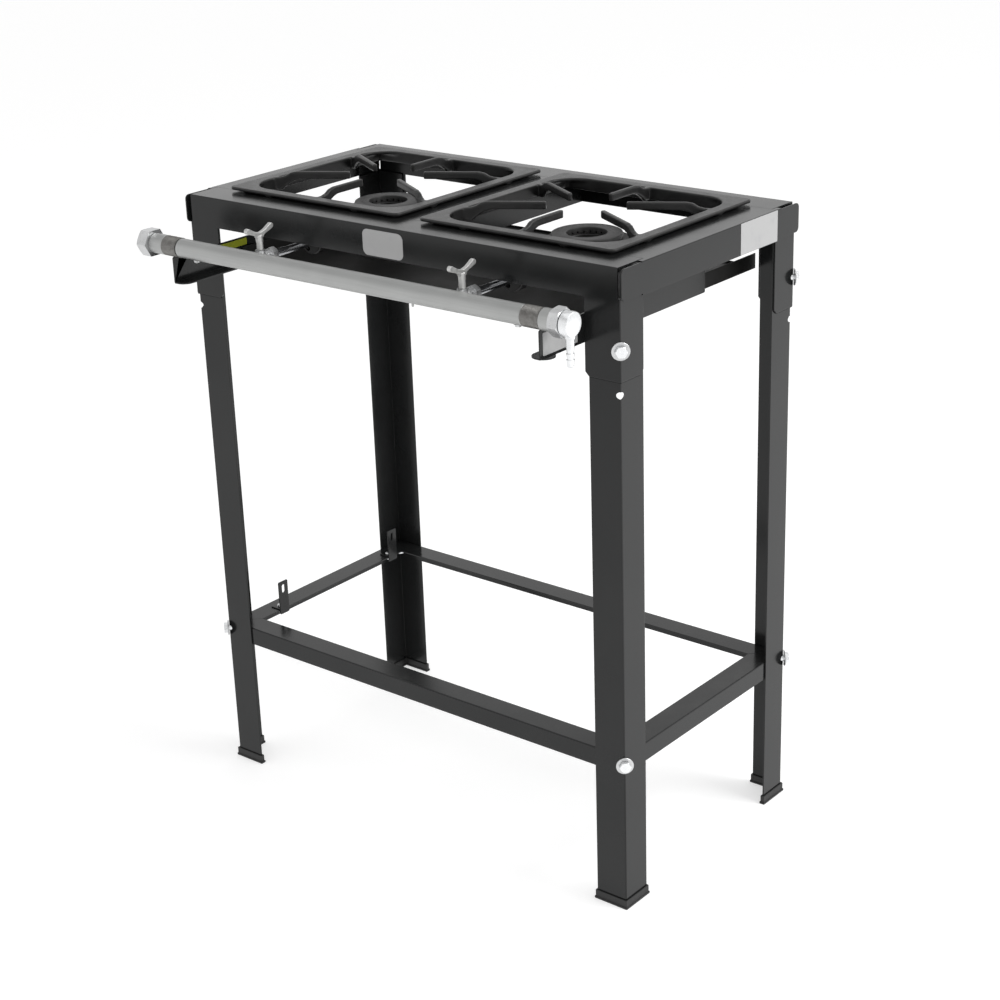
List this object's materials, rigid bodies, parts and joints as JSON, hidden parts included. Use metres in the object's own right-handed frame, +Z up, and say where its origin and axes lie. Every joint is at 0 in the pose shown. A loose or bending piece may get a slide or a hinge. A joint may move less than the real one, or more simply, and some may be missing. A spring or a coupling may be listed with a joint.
{
  "type": "propane burner stand",
  "caption": "Freestanding black steel gas burner stand with ring burners, cast pan supports, a front manifold with wing taps and a hose inlet.",
  "frame": {"origin": "on the floor, at the centre of the whole outline (the frame's own centre is 42.3 mm behind it, because the gas pipe stands out in front)", "axes": "+Z up, -Y towards the front with the gas pipe and taps, +X towards the hose inlet end"},
  "size_m": [0.7208, 0.4774, 0.8534],
  "materials": {
    "black_paint": "glossy charcoal black stoving paint over folded sheet steel",
    "cast_iron": "black enamelled sand-cast iron, fine rough skin",
    "zinc_plate": "bright zinc plate",
    "pipe_steel": "satin galvanised steel tube",
    "tap_alloy": "matt die-cast alloy",
    "shoe_plastic": "moulded black plastic",
    "label": "printed adhesive film"
  },
  "bodies": {
    "stand": {"front_apron": "black_paint", "rear_apron": "black_paint", "side_rail_left": "black_paint", "side_rail_right": "black_paint", "centre_divider": "black_paint", "leg_front_left": "black_paint", "leg_front_right": "black_paint", "leg_rear_left": "black_paint", "leg_rear_right": "black_paint", "shelf_rail_front": "black_paint", "shelf_rail_rear": "black_paint", "shelf_rail_left": "black_paint", "shelf_rail_right": "black_paint", "shelf_tab_front": "black_paint", "shelf_tab_rear": "black_paint", "bracket_left": "black_paint", "bracket_right": "black_paint", "burner_bar": "black_paint", "foot_front_left": "shoe_plastic", "foot_front_right": "shoe_plastic", "foot_rear_left": "shoe_plastic", "foot_rear_right": "shoe_plastic", "tab_screws": "zinc_plate", "leg_bolts": "zinc_plate", "leg_washers": "zinc_plate", "leg_nuts": "zinc_plate", "burner_screws": "zinc_plate", "pipe_screws": "zinc_plate", "end_cap": "zinc_plate", "inlet_adapter": "zinc_plate", "union_nut": "zinc_plate", "tap_left": "zinc_plate", "tap_right": "zinc_plate", "injector_left": "zinc_plate", "injector_right": "zinc_plate", "manifold_pipe": "pipe_steel", "burner_left": "cast_iron", "burner_right": "cast_iron", "front_badge": "label", "data_plate": "label", "bracket_labels": "label"},
    "drip_tray": {"drip_tray": "black_paint"},
    "tap_handle_left": {"tap_handle_left": "tap_alloy"},
    "tap_handle_right": {"tap_handle_right": "tap_alloy"},
    "air_shutter_left": {"air_shutter_left": "zinc_plate"},
    "air_shutter_right": {"air_shutter_right": "zinc_plate"},
    "burner_cap_left": {"burner_cap_left": "cast_iron"},
    "burner_cap_right": {"burner_cap_right": "cast_iron"},
    "grate_left": {"grate_left": "cast_iron"},
    "grate_right": {"grate_right": "cast_iron"},
    "hose_elbow": {"hose_elbow": "zinc_plate"}
  },
  "joints": [
    {"name": "tap_left_turn", "type": "hinge", "parent": "stand", "child": "tap_handle_left", "pos_m": [-0.1655, -0.1997, 0.8275], "axis": [0, 0, 1], "range_deg": [0, 90]},
    {"name": "air_shutter_left_turn", "type": "hinge", "parent": "stand", "child": "air_shutter_left", "pos_m": [-0.1655, -0.1093, 0.79], "axis": [0, 1, 0], "range_deg": [0, 60]},
    {"name": "burner_cap_left_lift", "type": "slide", "parent": "stand", "child": "burner_cap_left", "axis": [0, 0, 1], "range_m": [0, 0.05]},
    {"name": "grate_left_lift", "type": "slide", "parent": "stand", "child": "grate_left", "axis": [0, 0, 1], "range_m": [0, 0.06]},
    {"name": "tap_right_turn", "type": "hinge", "parent": "stand", "child": "tap_handle_right", "pos_m": [0.1655, -0.1997, 0.8275], "axis": [0, 0, 1], "range_deg": [0, 90]},
    {"name": "air_shutter_right_turn", "type": "hinge", "parent": "stand", "child": "air_shutter_right", "pos_m": [0.1655, -0.1093, 0.79], "axis": [0, 1, 0], "range_deg": [0, 60]},
    {"name": "burner_cap_right_lift", "type": "slide", "parent": "stand", "child": "burner_cap_right", "axis": [0, 0, 1], "range_m": [0, 0.05]},
    {"name": "grate_right_lift", "type": "slide", "parent": "stand", "child": "grate_right", "axis": [0, 0, 1], "range_m": [0, 0.06]},
    {"name": "drip_tray_slide", "type": "slide", "parent": "stand", "child": "drip_tray", "axis": [0, -1, 0], "range_m": [0, 0.3]},
    {"name": "hose_elbow_swivel", "type": "hinge", "parent": "stand", "child": "hose_elbow", "pos_m": [0.3364, -0.2197, 0.79], "axis": [1, 0, 0], "range_deg": [-90, 90]}
  ]
}
